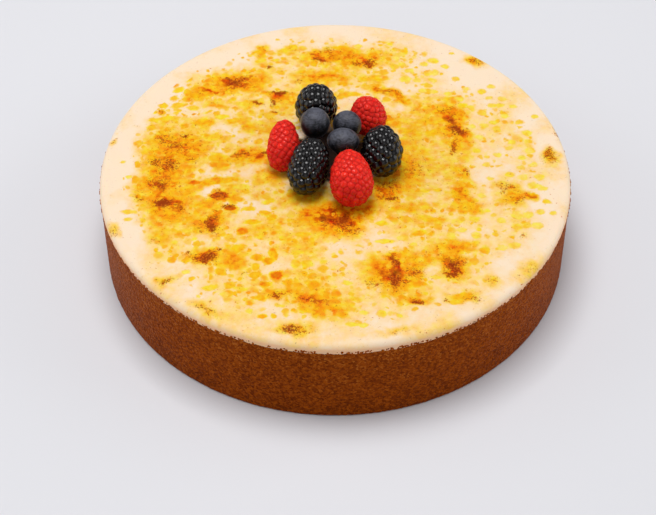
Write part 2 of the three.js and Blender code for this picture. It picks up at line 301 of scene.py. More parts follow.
def round_bead(name, size):
    """A ball of this radius in mm, with the few faces that a thing repeated so often can bear."""
    select_only()
    bpy.ops.mesh.primitive_cube_add(size=2 * size * MM)
    bead = new_piece(name)
    bpy.ops.object.mode_set(mode="EDIT")
    bpy.ops.mesh.select_all(action="SELECT")
    bpy.ops.mesh.subdivide(number_cuts=1)
    bpy.ops.mesh.select_all(action="SELECT")
    bpy.ops.transform.tosphere(value=1)
    bpy.ops.object.mode_set(mode="OBJECT")
    return bead


def copy_of(piece, place):
    """A copy with its own mesh, moved by a matrix."""
    copy = piece.copy()
    copy.data = piece.data.copy()
    copy.data.transform(place)
    bpy.context.collection.objects.link(copy)
    return copy


def join(name, pieces):
    """Joins objects into one of this name."""
    select_only(*pieces)
    bpy.ops.object.join()
    joined = bpy.context.object
    joined.name = name
    joined.data.name = name
    return joined


def smooth(piece, angle=180):
    """Shades a piece smooth, apart from edges sharper than an angle in degrees."""
    select_only(piece)
    bpy.ops.object.shade_smooth_by_angle(angle=math.radians(angle))


def vertex_places(piece):
    """The places of a mesh's vertices, in mm, one row each."""
    places = np.zeros(len(piece.data.vertices) * 3, np.float32)
    piece.data.vertices.foreach_get("co", places)
    return places.reshape(-1, 3).astype(float) / MM


def move_vertices(piece, places):
    piece.data.vertices.foreach_set("co", (places * MM).astype(np.float32).ravel())
    piece.data.update()


def keep(piece, name, values):
    """Keeps a number for each vertex, which the piece's material reads."""
    attribute = piece.data.attributes.new(name, "FLOAT", "POINT")
    attribute.data.foreach_set("value", np.asarray(values, np.float32))


def dress(piece, material, slot, *nodes):
    """Gives a finished piece its material, its body and the solid that it stands for; its slot is not used.
    """
    piece.data.materials.clear()
    piece.data.materials.append(material)
    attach(piece, "root")
    if nodes:
        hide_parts(*nodes)


# Materials

# Torched cream, from pale through yellow, gold, amber and orange to brown
CREAM_SHADES = [
    (0.00, "#efd8bc"), (0.07, "#efd0a2"), (0.15, "#f0cb82"), (0.25, "#edc456"), (0.36, "#eab82f"),
    (0.46, "#ebac18"), (0.57, "#ea9a0a"), (0.68, "#dd7402"), (0.80, "#c45802"), (1.00, "#903602"),
]

# Biscuit crumb, from the dark grains to the pale ones
CRUMB_SHADES = [(0.0, "#541e00"), (0.3, "#7c3300"), (0.65, "#a24c06"), (1.0, "#ca7c34")]


def linear(colour):
    """A colour written as sRGB hex, as the linear red, green, blue and alpha of a shader."""
    shares = [int(colour[start:start + 2], 16) / 255 for start in (1, 3, 5)]
    return [s / 12.92 if s <= 0.04045 else ((s + 0.055) / 1.055) ** 2.4 for s in shares] + [1.0]


def per_metre(size):
    """The scale of a pattern whose features are this many mm apart."""
    return 1000 / size


def new_material(name):
    """A material with no nodes yet, and its node tree."""
    material = bpy.data.materials.new(name)
    material.use_nodes = True
    material.node_tree.nodes.clear()
    return material, material.node_tree


def add(tree, kind, settings=None, inputs=None):
    """Adds a shader node with its settings, and gives its inputs their values or links."""
    node = tree.nodes.new("ShaderNode" + kind)
    for setting, value in (settings or {}).items():
        setattr(node, setting, value)
    for socket, value in (inputs or {}).items():
        if isinstance(value, bpy.types.NodeSocket):
            tree.links.new(value, node.inputs[socket])
        else:
            node.inputs[socket].default_value = value
    return node


def ramp(tree, value, shades):
    """Turns a value into a colour, by a list of places from 0 to 1 and sRGB colours."""
    node = add(tree, "ValToRGB", None, {"Fac": value})
    stops = node.color_ramp.elements
    stops[0].position, stops[0].color = shades[0][0], linear(shades[0][1])
    stops[1].position, stops[1].color = shades[-1][0], linear(shades[-1][1])
    for position, shade in shades[1:-1]:
        stops.new(position).color = linear(shade)
    return node.outputs[0]


def torched_cream():
    """Baked cream cheese, torched: a pale satin skin with soft light inside it, sugar that went
    yellow, amber and orange in clouds, curds and drops, and ragged brown specks of char."""
    material, tree = new_material("torched_cream")
    place = add(tree, "TexCoord").outputs["Object"]
    marks = {
        name: add(tree, "Attribute", {"attribute_name": name}).outputs["Fac"]
        for name in ("browning", "curdling", "drop", "tone", "char")
    }

    # Noise bends the patterns, so that no lump is round
    bend = add(tree, "TexNoise", None, {"Vector": place, "Scale": per_metre(3.2), "Detail": 2})
    bent = add(tree, "VectorMath", {"operation": "MULTIPLY_ADD"},
               {0: bend.outputs["Color"], 1: (2.6 * MM, 2.6 * MM, 2.6 * MM), 2: place}).outputs[0]
    cloud = add(tree, "TexNoise", None,
                {"Vector": place, "Scale": per_metre(5), "Detail": 3, "Roughness": 0.6})
    grain = add(tree, "TexNoise", None,
                {"Vector": place, "Scale": per_metre(1.1), "Detail": 3, "Roughness": 0.65})

    # The smooth wash under everything, mottled inside the torched zones
    mottle = -0.1
    for pattern, share in ((cloud.outputs["Fac"], 2.1), (grain.outputs["Fac"], 0.5)):
        mottle = add(tree, "Math", {"operation": "MULTIPLY_ADD"},
                     {0: pattern, 1: share, 2: mottle}).outputs[0]
    scorch = add(tree, "Math", {"operation": "MULTIPLY_ADD", "use_clamp": True},
                 {0: marks["browning"], 1: mottle, 2: -0.08}).outputs[0]

    # Curds: lumps 5.4, 3.6 and 2.6 mm apart, fewer and paler where the torch passed quickly
    curds = []
    for spacing, amount, reach in ((5.4, 0.8, 0.56), (3.6, 0.8, 0.52), (2.6, 0.35, 0.56)):
        cells = add(tree, "TexVoronoi", None, {"Vector": bent, "Scale": per_metre(spacing)})
        chance = add(tree, "SeparateColor", None, {"Color": cells.outputs["Color"]})
        lot = add(tree, "Math", {"operation": "MULTIPLY"}, {0: marks["curdling"], 1: amount})
        chosen = add(tree, "Math", {"operation": "LESS_THAN"},
                     {0: chance.outputs[0], 1: lot.outputs[0]})
        lump = add(tree, "MapRange", {"interpolation_type": "SMOOTHSTEP"},
                   {"Value": cells.outputs["Distance"], "From Min": reach - 0.28, "From Max": reach,
                    "To Min": 1, "To Max": 0})
        shown = add(tree, "Math", {"operation": "MULTIPLY"}, {0: chosen.outputs[0], 1: lump.outputs[0]})
        depth = 0.16
        for pattern, share in ((chance.outputs[1], 0.24), (marks["browning"], 0.4)):
            depth = add(tree, "Math", {"operation": "MULTIPLY_ADD"},
                        {0: pattern, 1: share, 2: depth}).outputs[0]
        scorch = add(tree, "Mix", {"data_type": "FLOAT"},
                     {0: shown.outputs[0], 2: scorch, 3: depth}).outputs[0]
        curds.append(shown.outputs[0])

    # Drops of melted sugar, whose edges the grain makes ragged
    ragged = add(tree, "Math", {"operation": "MULTIPLY_ADD"},
                 {0: grain.outputs["Fac"], 1: 0.5, 2: marks["drop"]})
    drops = add(tree, "MapRange", {"interpolation_type": "SMOOTHSTEP"},
                {"Value": ragged.outputs[0], "From Min": 0.44, "From Max": 0.84})
    melted = add(tree, "Math", {"operation": "MULTIPLY_ADD"},
                 {0: cloud.outputs["Fac"], 1: 0.5, 2: marks["tone"]})
    melted = add(tree, "Math", {"operation": "SUBTRACT"}, {0: melted.outputs[0], 1: 0.26})
    scorch = add(tree, "Mix", {"data_type": "FLOAT"},
                 {0: drops.outputs[0], 2: scorch, 3: melted.outputs[0]}).outputs[0]
    scorch = add(tree, "Math", {"operation": "MULTIPLY_ADD"},
                 {0: marks["char"], 1: 0.14, 2: scorch}).outputs[0]
    colour = ramp(tree, scorch, CREAM_SHADES)

    # Some spots lean to lemon and some to orange, and thin drops of sugar lean to lemon most
    drift = add(tree, "TexNoise", None, {"Vector": place, "Scale": per_metre(4), "Detail": 1})
    drift = add(tree, "MapRange", None,
                {"Value": drift.outputs["Fac"], "From Min": 0.25, "From Max": 0.75,
                 "To Min": 0.475, "To Max": 0.524})
    thin = add(tree, "MapRange", None,
               {"Value": scorch, "From Min": 0.25, "From Max": 0.6, "To Min": 0.024, "To Max": 0})
    hue = add(tree, "Math", {"operation": "MULTIPLY_ADD"},
              {0: drops.outputs[0], 1: thin.outputs[0], 2: drift.outputs[0]})
    sweet = add(tree, "Math", {"operation": "MULTIPLY", "use_clamp": True}, {0: scorch, 1: 3})
    colour = add(tree, "HueSaturation", None,
                 {"Hue": hue.outputs[0], "Fac": sweet.outputs[0], "Color": colour}).outputs[0]

    # Toasted specks of sugar, and char in ragged grains where it caught
    specks = colour
    for size, share, warmth, shade in ((1.7, 0.2, 0.17, "#c46008"), (0.9, 0.29, 0.08, "#882e06")):
        grains = add(tree, "TexNoise", None,
                     {"Vector": bent, "Scale": per_metre(size), "Detail": 3, "Roughness": 0.7})
        likely = grains.outputs["Fac"]
        for mark, weight in ((marks["char"], share), (marks["browning"], warmth)):
            likely = add(tree, "Math", {"operation": "MULTIPLY_ADD"},
                         {0: mark, 1: weight, 2: likely}).outputs[0]
        charred = add(tree, "MapRange", {"interpolation_type": "SMOOTHSTEP"},
                      {"Value": likely, "From Min": 0.67, "From Max": 0.76, "To Max": 0.85})
        specks = add(tree, "Mix", {"data_type": "RGBA"},
                     {0: charred.outputs[0], 6: specks, 7: linear(shade)}).outputs[2]

    # The lip's side didn't see the torch: it baked to a warm peach
    height = add(tree, "SeparateXYZ", None, {0: place})
    side = add(tree, "MapRange", {"interpolation_type": "SMOOTHSTEP"},
               {"Value": height.outputs[2], "From Min": CAKE_TOP - 2.6 * MM, "From Max": CAKE_TOP - MM,
                "To Min": 0.85, "To Max": 0})
    edged = add(tree, "Mix", {"data_type": "RGBA"},
                {0: side.outputs[0], 6: specks, 7: linear("#fcc89c")})

    # Painted shade: the cream under the heap is painted near-black, where shade falls in the gaps between
    # the berries
    painted_heap_shade = add(tree, "Attribute", {"attribute_name": "painted_heap_shade"}).outputs["Fac"]
    final = add(tree, "Mix", {"data_type": "RGBA"},
                {0: painted_heap_shade, 6: edged.outputs[2], 7: linear("#1c0a0c")})

    # Melted sugar is glossier than the cream round it
    gloss = add(tree, "MapRange", None,
                {"Value": scorch, "From Max": 0.6, "To Min": 0.5, "To Max": 0.36})

    # Relief: a slight waviness, sunken drops and large curds, raised char, and the grain
    relief = cloud.outputs["Fac"]
    for pattern, rise in ((drops.outputs[0], -0.3), (curds[0], -0.2), (charred.outputs[0], 0.4),
                          (grain.outputs["Fac"], 0.25)):
        relief = add(tree, "Math", {"operation": "MULTIPLY_ADD"},
                     {0: pattern, 1: rise, 2: relief}).outputs[0]
    bump = add(tree, "Bump", None, {"Strength": 0.5, "Distance": 0.35 * MM, "Height": relief})

    shader = add(tree, "BsdfPrincipled", None, {
        "Base Color": final.outputs[2], "Roughness": gloss.outputs[0], "IOR": 1.45,
        "Specular IOR Level": 0.08, "Subsurface Weight": 0.3, "Subsurface Scale": 2 * MM,
        "Subsurface Radius": (1, 0.7, 0.4), "Normal": bump.outputs[0],
    })
    add(tree, "OutputMaterial", None, {"Surface": shader.outputs[0]})
    return material


def biscuit_crumb():
    """Butter-bound biscuit crumb, pressed into a ring: dry and matt, with grains of sand size, some
    pale and some dark, and a dusty edge."""
    material, tree = new_material("biscuit_crumb")
    place = add(tree, "TexCoord").outputs["Object"]

    # The grains are drawn 0.85 mm apart, a little coarser than they are, so that they show
    grains = add(tree, "TexVoronoi", None, {"Vector": place, "Scale": per_metre(0.85)})
    shade = add(tree, "SeparateColor", None, {"Color": grains.outputs["Color"]})
    patch = add(tree, "TexNoise", None, {"Vector": place, "Scale": per_metre(12), "Detail": 2})
    height = add(tree, "SeparateXYZ", None, {0: place})

    # Painted shade: paler towards the rim and darker towards the foot, as the light falls from above. Paler
    # in patches, and each grain has a shade of its own
    value = -0.035
    for pattern, share in ((height.outputs[2], 0.17 / CRUST_RIM), (patch.outputs["Fac"], 0.2),
                           (shade.outputs[0], 0.56)):
        value = add(tree, "Math", {"operation": "MULTIPLY_ADD"},
                    {0: pattern, 1: share, 2: value}).outputs[0]
    colour = ramp(tree, value, CRUMB_SHADES)
    bump = add(tree, "Bump", {"invert": True},
               {"Strength": 0.9, "Distance": 0.35 * MM, "Height": grains.outputs["Distance"]})
    shader = add(tree, "BsdfPrincipled", None, {
        "Base Color": colour, "Roughness": 0.92, "IOR": 1.45, "Specular IOR Level": 0.08,
        "Sheen Weight": 0.36, "Sheen Roughness": 0.22, "Sheen Tint": linear("#d8b8ac"),
        "Normal": bump.outputs[0],
    })
    add(tree, "OutputMaterial", None, {"Surface": shader.outputs[0]})
    return material


def raspberry_skin():
    """Thin skin over bright, wet flesh: orange-red light inside each drupelet, a purer red in the creases,
    and a fine down that softens the shine. The deep red below is painted shade, with a little random
    deepening of single drupelets mixed in."""
    material, tree = new_material("raspberry_skin")
    place = add(tree, "TexCoord").outputs["Object"]
    crease = add(tree, "Attribute", {"attribute_name": "crease"}).outputs["Fac"]
    ripe_and_low_shade = add(tree, "Attribute", {"attribute_name": "ripe_and_low_shade"}).outputs["Fac"]
    # Painted shade: the lower drupelets are a deeper red
    top = add(tree, "Mix", {"data_type": "RGBA"}, {0: ripe_and_low_shade, 6: linear("#ff3220"), 7: linear("#8c0103")})
    deep = add(tree, "Mix", {"data_type": "RGBA"}, {0: crease, 6: top.outputs[2], 7: linear("#e20804")})

    # The down is far finer than this, which is as fine as can show. The drupelets shine, and the
    # creases between them are dry and dull.
    down = add(tree, "TexNoise", None, {"Vector": place, "Scale": per_metre(0.6), "Detail": 2})
    dry = add(tree, "MapRange", None, {"Value": crease, "From Max": 0.6, "To Min": 0.16, "To Max": 0.8})
    bump = add(tree, "Bump", None,
               {"Strength": 0.2, "Distance": 0.1 * MM, "Height": down.outputs["Fac"]})
    shader = add(tree, "BsdfPrincipled", None, {
        "Base Color": deep.outputs[2], "Roughness": dry.outputs[0], "IOR": 1.42,
        "Specular IOR Level": 0.28, "Subsurface Weight": 0.6, "Subsurface Scale": 2 * MM,
        "Subsurface Radius": (1, 0.2, 0.1), "Normal": bump.outputs[0],
    })
    add(tree, "OutputMaterial", None, {"Surface": shader.outputs[0]})
    return material


def raspberry_hair():
    """The dry styles left on a raspberry: dull russet threads."""
    material, tree = new_material("raspberry_hair")
    place = add(tree, "TexCoord").outputs["Object"]
    tint = add(tree, "TexNoise", None, {"Vector": place, "Scale": per_metre(3)})
    colour = add(tree, "Mix", {"data_type": "RGBA"},
                 {0: tint.outputs["Fac"], 6: linear("#84200c"), 7: linear("#c4683c")})
    shader = add(tree, "BsdfPrincipled", None, {"Base Color": colour.outputs[2], "Roughness": 0.7})
    add(tree, "OutputMaterial", None, {"Surface": shader.outputs[0]})
    return material


def bramble_skin():
    """Taut skin over near-black flesh: a gloss on each drupelet and a trace of purple in the black. The
    creases and the lower drupelets are painted blacker, as shade."""
    material, tree = new_material("bramble_skin")
    crease = add(tree, "Attribute", {"attribute_name": "crease"}).outputs["Fac"]
    ripe_and_low_shade = add(tree, "Attribute", {"attribute_name": "ripe_and_low_shade"}).outputs["Fac"]
    # Painted shade: the lower drupelets are blacker
    top = add(tree, "Mix", {"data_type": "RGBA"}, {0: ripe_and_low_shade, 6: linear("#0a0507"), 7: linear("#040203")})
    # Painted shade: the creases between the drupelets are blacker
    deep = add(tree, "Mix", {"data_type": "RGBA"}, {0: crease, 6: top.outputs[2], 7: linear("#020101")})
    shader = add(tree, "BsdfPrincipled", None, {
        "Base Color": deep.outputs[2], "Roughness": 0.2, "IOR": 1.45, "Specular IOR Level": 0.56,
    })
    add(tree, "OutputMaterial", None, {"Surface": shader.outputs[0]})
    return material


def blueberry_skin():
    """Dark blue skin with its own pale bloom, rubbed off in fine curved streaks, that dulls the shine and
    lightens the edges. The bloom is painted thick on top, as light from above, and thin below, as shade."""
    material, tree = new_material("blueberry_skin")
    place = add(tree, "TexCoord").outputs["Object"]
    # The bloom's thickness holds painted light on top and painted shade below
    wax_and_painted_light = add(tree, "Attribute", {"attribute_name": "wax_and_painted_light"}).outputs["Fac"]
    rubbed = add(tree, "TexNoise", None,
                 {"Vector": place, "Scale": per_metre(3), "Detail": 4, "Roughness": 0.65, "Distortion": 0.8})
    streaks = add(tree, "TexWave", {"wave_type": "RINGS", "rings_direction": "SPHERICAL"},
                  {"Vector": place, "Scale": per_metre(3), "Distortion": 9, "Detail": 3,
                   "Detail Scale": 1.2})
    patchy = wax_and_painted_light
    for pattern, share in ((rubbed.outputs["Fac"], 1.6), (streaks.outputs["Fac"], 0.22)):
        patchy = add(tree, "Math", {"operation": "MULTIPLY_ADD"},
                     {0: pattern, 1: share, 2: patchy}).outputs[0]
    bloom = add(tree, "MapRange", {"interpolation_type": "SMOOTHSTEP"},
                {"Value": patchy, "From Min": 1.05, "From Max": 2.1})
    colour = add(tree, "Mix", {"data_type": "RGBA"},
                 {0: bloom.outputs[0], 6: linear("#08090b"), 7: linear("#53545f")})
    dull = add(tree, "MapRange", None, {"Value": bloom.outputs[0], "To Min": 0.34, "To Max": 0.6})
    shader = add(tree, "BsdfPrincipled", None, {
        "Base Color": colour.outputs[2], "Roughness": dull.outputs[0], "IOR": 1.45,
        "Specular IOR Level": 0.35, "Sheen Weight": 0.25, "Sheen Roughness": 0.3,
        "Sheen Tint": linear("#bcbed0"),
    })
    add(tree, "OutputMaterial", None, {"Surface": shader.outputs[0]})
    return material


# The crumb shell

CRUST_STEPS = 1150
CRUST_CUTS = 70
RIM_CUTS = 6
RIM_CRUMBS = 900
RIM_CRUMB_RADIUS = 0.4

# The pressed grain: each pattern's kind, its size and its depth in mm
PRESSED = [("VORONOI", 1.3, 0.30), ("CLOUDS", 4.5, 0.22)]

# How far out the broken edge starts, and how far it is broken up or down, in mm
BROKEN_FROM = 112
BROKEN = 0.25


def crumb_crust():
    """The shell's half-section is drawn as a face, opened to its outline and spun."""
    crust = upright_face("crumb_crust", FOOT_RADIUS - WALL, FOOT_RADIUS, 0, CRUST_RIM)
    bpy.ops.object.mode_set(mode="EDIT")
    bpy.ops.mesh.bisect(plane_co=(0, 0, FLOOR), plane_no=(0, 0, 1))
    inner = FOOT_RADIUS - WALL
    pick("edges", lambda e: all(abs(v.co.x - inner) < MM and v.co.z < FLOOR + MM / 10 for v in e.verts))
    extrude(-inner, 0, 0)
    pick("edges", lambda e: len(e.link_faces) == 2)
    bpy.ops.mesh.dissolve_edges(use_verts=True)

    # The rim leans in by the foot's spread and slopes down to the inside
    pick("verts", lambda v: v.co.z > CRUST_RIM - MM)
    bpy.ops.transform.translate(value=(CAKE_RADIUS - FOOT_RADIUS, 0, 0))
    pick("verts", lambda v: v.co.z > CRUST_RIM - MM and v.co.x < CAKE_RADIUS - MM)
    bpy.ops.transform.translate(value=(0, 0, -RIM_SLOPE))
    pick("verts", lambda v: v.co.z < MM and v.co.x > FOOT_RADIUS - MM)
    bpy.ops.mesh.bevel(offset=FOOT_BEVEL, segments=2, affect="VERTICES")

    pick("edges", lambda e: all(v.co.x > CAKE_RADIUS - MM / 10 and v.co.z > FOOT_BEVEL / 2 for v in e.verts))
    bpy.ops.mesh.subdivide(number_cuts=CRUST_CUTS)
    pick("edges", lambda e: all(v.co.z > CRUST_RIM - 2 * MM and v.co.z < CRUST_RIM + MM for v in e.verts)
         and abs(e.verts[0].co.x - e.verts[1].co.x) > MM)
    bpy.ops.mesh.subdivide(number_cuts=RIM_CUTS)
    bpy.ops.mesh.select_all(action="SELECT")
    bpy.ops.mesh.delete(type="ONLY_FACE")
    spin_round(CRUST_STEPS)
    bpy.ops.object.mode_set(mode="OBJECT")

    # Crumb: rounded grains pressed into the outside and the rim, which never stand out past it
    places = vertex_places(crust)
    radius = np.hypot(places[:, 0], places[:, 1])
    shows = (radius > (CAKE_RADIUS - 4 * MM) / MM) & (places[:, 2] > 0.1)
    crumb = crust.vertex_groups.new(name="crumb")
    crumb.add([int(index) for index in np.nonzero(shows)[0]], 1, "REPLACE")
    for kind, size, depth in PRESSED:
        texture = bpy.data.textures.new("pressed_crumb", kind)
        texture.noise_scale = size * MM
        finish_with(crust, "DISPLACE", texture=texture, texture_coords="LOCAL", vertex_group="crumb",
                    strength=depth * MM, mid_level=1, direction="NORMAL")

    # The rim's edge is finely broken
    places = vertex_places(crust)
    radius = np.hypot(places[:, 0], places[:, 1])
    slope = RIM_SLOPE / MM
    edge = np.clip((places[:, 2] - CRUST_RIM / MM + slope) / slope, 0, 1) * (radius > BROKEN_FROM)
    rng = np.random.default_rng(7)
    turn = np.arctan2(places[:, 1], places[:, 0]) / (2 * math.pi)
    step = np.round(turn * CRUST_STEPS).astype(int) % CRUST_STEPS
    broken = rng.random(CRUST_STEPS + 1)
    places[:, 2] += edge * BROKEN * (2 * broken[step] - 1)
    move_vertices(crust, places)
    smooth(crust, 60)
    return crust


def rim_crumbs():
    """Loose crumbs that cling to the shell's rim and reach over the foot of the lip."""
    rng = random.Random("crumbs")
    crumb = round_bead("crumb", RIM_CRUMB_RADIUS)
    crumbs = []
    for _ in range(RIM_CRUMBS):
        angle = rng.uniform(0, 2 * math.pi)
        radius = CAKE_RADIUS / MM - rng.uniform(0.1, 0.5)
        height = CRUST_RIM / MM + rng.uniform(-0.6, 0.3)
        place = Vector((radius * math.cos(angle), radius * math.sin(angle), height)) * MM
        axis = Vector([rng.uniform(-1, 1) for _ in range(3)])
        turn = Matrix.Rotation(rng.uniform(0, 2 * math.pi), 4, axis)
        shape = Matrix.Diagonal([rng.uniform(0.7, 1.3) for _ in range(3)]).to_4x4()
        crumbs.append(copy_of(crumb, Matrix.Translation(place) @ turn @ shape))
    bpy.data.objects.remove(crumb)
    return join("rim_crumbs", crumbs)


# The cream filling

CREAM_STEPS = 600
CREAM_CUTS = 63

# The torch stayed inside this radius. A freckle is this long and wide each way, and this brown.
TORCHED_RADIUS = 104
FRECKLE = (3.7, 2.9)
FRECKLE_TONE = 0.3

# The top's low relief in mm: a slight swell, sunken drops and raised char
SWELL = 0.25
SUNKEN = 0.15
RAISED = 0.1


def cream_filling():
    """The filling's half-section is drawn as a face, opened to its outline and spun. The lip
    reaches down to the crust's rim, and its shoulder is rounded."""
    body_radius = CAKE_RADIUS - WALL - 0.3 * MM
    under = CRUST_RIM - RIM_SLOPE
    cream = upright_face("cream_filling", 0, body_radius, FILLING_LOW.z, under)
    bpy.ops.object.mode_set(mode="EDIT")
    pick("edges", lambda e: all(v.co.z > under - MM for v in e.verts))
    extrude(0, 0, CAKE_TOP - under)
    pick("edges", lambda e: all(v.co.x > body_radius - MM and v.co.z > under - MM for v in e.verts))
    extrude(CAKE_RADIUS - body_radius, 0, 0)
    pick("verts", lambda v: v.co.x > CAKE_RADIUS - MM and v.co.z < CAKE_TOP - MM)
    bpy.ops.transform.translate(value=(0, 0, RIM_SLOPE))
    pick("edges", lambda e: len(e.link_faces) == 2)
    bpy.ops.mesh.dissolve_edges(use_verts=True)
    pick("verts", lambda v: v.co.x > CAKE_RADIUS - MM and v.co.z > CAKE_TOP - MM)
    bpy.ops.mesh.bevel(offset=SHOULDER, segments=7, affect="VERTICES")
    pick("edges", lambda e: all(v.co.z > CAKE_TOP - MM / 100 for v in e.verts))
    bpy.ops.mesh.subdivide(number_cuts=1)
    bpy.ops.mesh.subdivide(number_cuts=CREAM_CUTS)
    bpy.ops.mesh.select_all(action="SELECT")
    bpy.ops.mesh.delete(type="ONLY_FACE")
    spin_round(CREAM_STEPS)
    bpy.ops.object.mode_set(mode="OBJECT")
    torch(cream)
    smooth(cream, 60)
    return cream


def nearness(x, y, mark, reach=1.0):
    """How near points are to an oval mark: 1 at its centre and 0 at its edge, which a reach of more
    than 1 moves outwards."""
    mark_x, mark_y, half_length, half_width, turn = mark
    cosine, sine = math.cos(math.radians(turn)), math.sin(math.radians(turn))
    along = ((x - mark_x) * cosine + (y - mark_y) * sine) / (half_length * reach)
    across = ((y - mark_y) * cosine - (x - mark_x) * sine) / (half_width * reach)
    return np.clip(1 - np.hypot(along, across), 0, 1)


def wavering(places, size, reach, seed):
    """Shifts for points on the top, in mm, that vary smoothly over a size in mm."""
    shifts = [noise.noise_vector(Vector((x / size, y / size, seed))) for x, y in places]
    return np.array(shifts)[:, :2] * reach


def eased(share):
    """Turns a share from 0 to 1 into one that starts and ends softly."""
    return share * share * (3 - 2 * share)


def torch(cream):
    """Browns the top: zones of heat, char, drops of sugar and freckles, each with a wavering outline, and
    the low relief that they leave. It also paints near-black shade on the cream under the heap of berries."""
    places = vertex_places(cream)
    flat = places[:, :2]
    moved = flat + wavering(flat, size=8, reach=3.6, seed=1.5) + wavering(flat, size=3, reach=2, seed=7.5)
    firm = flat + wavering(flat, size=2.6, reach=0.9, seed=4.5)

    cool = np.ones(len(places))
    for *mark, brownness in ZONES:
        near = nearness(*moved.T, mark, reach=1.35)
        cool *= 1 - brownness * eased(near)
    char = np.zeros(len(places))
    for *mark, density in CHARRED:
        near = nearness(*moved.T, mark, reach=1.5)
        char = np.maximum(char, density * eased(near))
    drop = np.zeros(len(places))
    tone = np.full(len(places), 0.4)
    for *mark, brownness in DROPS:
        near = nearness(*firm.T, mark, reach=1.5)
        tone = np.where(near > drop, brownness, tone)
        drop = np.maximum(drop, near)
    for x, y, size in FRECKLES:
        near = nearness(*firm.T, (x, y, FRECKLE[0] * size, FRECKLE[1] * size, 0))
        tone = np.where(near > drop, FRECKLE_TONE, tone)
        drop = np.maximum(drop, near)

    # The cream is a little warm all over, more inside the rim and towards the front and the right
    radius = np.hypot(places[:, 0], places[:, 1])
    inside = np.clip((TORCHED_RADIUS - radius) / 10, 0, 1)
    warm = np.array([noise.noise(Vector((x / 16, y / 16, 3.5))) for x, y in flat])
    front = np.clip(-places[:, 1] / 100, 0, 1) + 0.4 * np.clip(places[:, 0] / 100, 0, 1)
    heat = 1 - cool * (1 - np.clip(0.05 + 0.06 * front + 0.085 * inside + 0.12 * warm, 0.02, 1))
    curdling = inside * np.clip(0.42 - places[:, 0] / 400 + 0.5 * warm + 0.5 * heat, 0.05, 1)

    # The painted shade stays well inside the ring of berries
    heap_shade_share = np.clip(nearness(*moved.T, HEAP_SHADE_OVAL) * 4, 0, 1)

    keep(cream, "browning", heat)
    keep(cream, "curdling", curdling)
    keep(cream, "char", char)
    keep(cream, "drop", drop)
    keep(cream, "tone", tone)
    keep(cream, "painted_heap_shade", 0.985 * eased(heap_shade_share))

    top = np.clip((places[:, 2] - (CAKE_TOP / MM - 0.6)) / 0.5, 0, 1)
    swell = np.array([noise.noise(Vector((x / 22, y / 22, 9.5))) for x, y in flat])
    places[:, 2] += top * (SWELL * swell - SUNKEN * np.clip(drop * 2, 0, 1) + RAISED * char)
    move_vertices(cream, places)


# Raspberries and brambles

def spiral(count):
    """Directions in the spiral in which drupelets sit round a berry, from the tip down."""
    for index in range(count):
        height = 1 - (2 * index + 1) / count
        girth = math.sqrt(1 - height * height)
        turn = index * GOLDEN_ANGLE
        yield Vector((girth * math.cos(turn), girth * math.sin(turn), height))


def turned_and_leaning(berry):
    """Turns a berry on its own axis and leans it over."""
    return (
        Matrix.Rotation(math.radians(berry["towards"]), 4, "Z")
        @ Matrix.Rotation(math.radians(berry["lean"]), 4, "Y")
        @ Matrix.Rotation(math.radians(berry.get("spin", 0)), 4, "Z")
    )


def drupelet_berry(name, berry, kind):
    """Drupelets in a spiral round a core, each a little different. It gives the skin, and each
    drupelet's tip and the way it points."""
    rng = random.Random(name)
    spacing = math.sqrt(2 / math.sqrt(3) * math.pi * berry["width"] * berry["length"] / berry["drupelets"])
    reach = kind["swell"] * spacing
    bead = round_bead("drupelet", reach)
    turn = turned_and_leaning(berry)
    centres = []
    beads = []
    for unit in spiral(berry["drupelets"]):
        girth = berry["width"] / 2 * (1 - kind["taper"] * unit.z)
        body = Vector((unit.x * girth, unit.y * girth, unit.z * berry["length"] / 2))
        size = rng.uniform(1 - 0.4 * kind["uneven"], 1 + 0.4 * kind["uneven"])
        aside = Vector([rng.uniform(-kind["uneven"], kind["uneven"]) for _ in range(3)])
        centre = body * (1 - reach * size / body.length) + aside
        facing = unit.to_track_quat("Z", "Y").to_matrix().to_4x4()
        shape = Matrix.Diagonal((size, size, size * kind["long"], 1))
        beads.append(copy_of(bead, turn @ Matrix.Translation(centre * MM) @ facing @ shape))
        centres.append(turn @ centre)
    bpy.data.objects.remove(bead)
    skin = join(name + "_skin", beads)
    finish_with(skin, "SUBSURF", levels=2, render_levels=2)

    select_only()
    bpy.ops.mesh.primitive_uv_sphere_add(segments=32, ring_count=20, radius=1)
    core = new_piece("core")
    share = kind["core"] * MM / 2
    core.data.transform(
        turn @ Matrix.Diagonal((berry["width"] * share, berry["width"] * share, berry["length"] * share, 1)))
    skin = join(name + "_skin", [core, skin])

    places = vertex_places(skin)
    centres = np.array(centres)
    away = np.linalg.norm(places[:, None, :] - centres[None, :, :], axis=2)
    closest = np.partition(away, 1, axis=1)
    crease = np.clip(1 - (closest[:, 1] - closest[:, 0]) / (0.5 * reach), 0, 1)
    # Painted shade: the lower drupelets get a deeper colour, with a little random variation from drupelet to
    # drupelet
    lowness = (centres[:, 2].max() - centres[:, 2]) / np.ptp(centres[:, 2])
    ripeness_and_low_shade = np.array([0.3 * rng.random() + 0.7 * low for low in lowness])
    keep(skin, "crease", crease ** 2)
    keep(skin, "ripe_and_low_shade", ripeness_and_low_shade[away.argmin(axis=1)])
    stretch, shift = fit(skin, name)
    smooth(skin)

    ways = [Vector(centre).normalized() for centre in centres]
    tips = [Vector(centre * stretch + shift) + way * reach * 0.8
            for centre, way in zip(centres, ways)]
    return skin, tips, ways


def fit(piece, node):
    """Sizes a piece to its solid's box, which the smoothing left it a little inside, and gives
    the stretch and the shift in mm."""
    low, high = (np.array(corner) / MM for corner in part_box(node))
    places = vertex_places(piece)
    stretch = (high - low) / (places.max(0) - places.min(0))
    shift = low - places.min(0) * stretch
    move_vertices(piece, places * stretch + shift)
    return stretch, shift


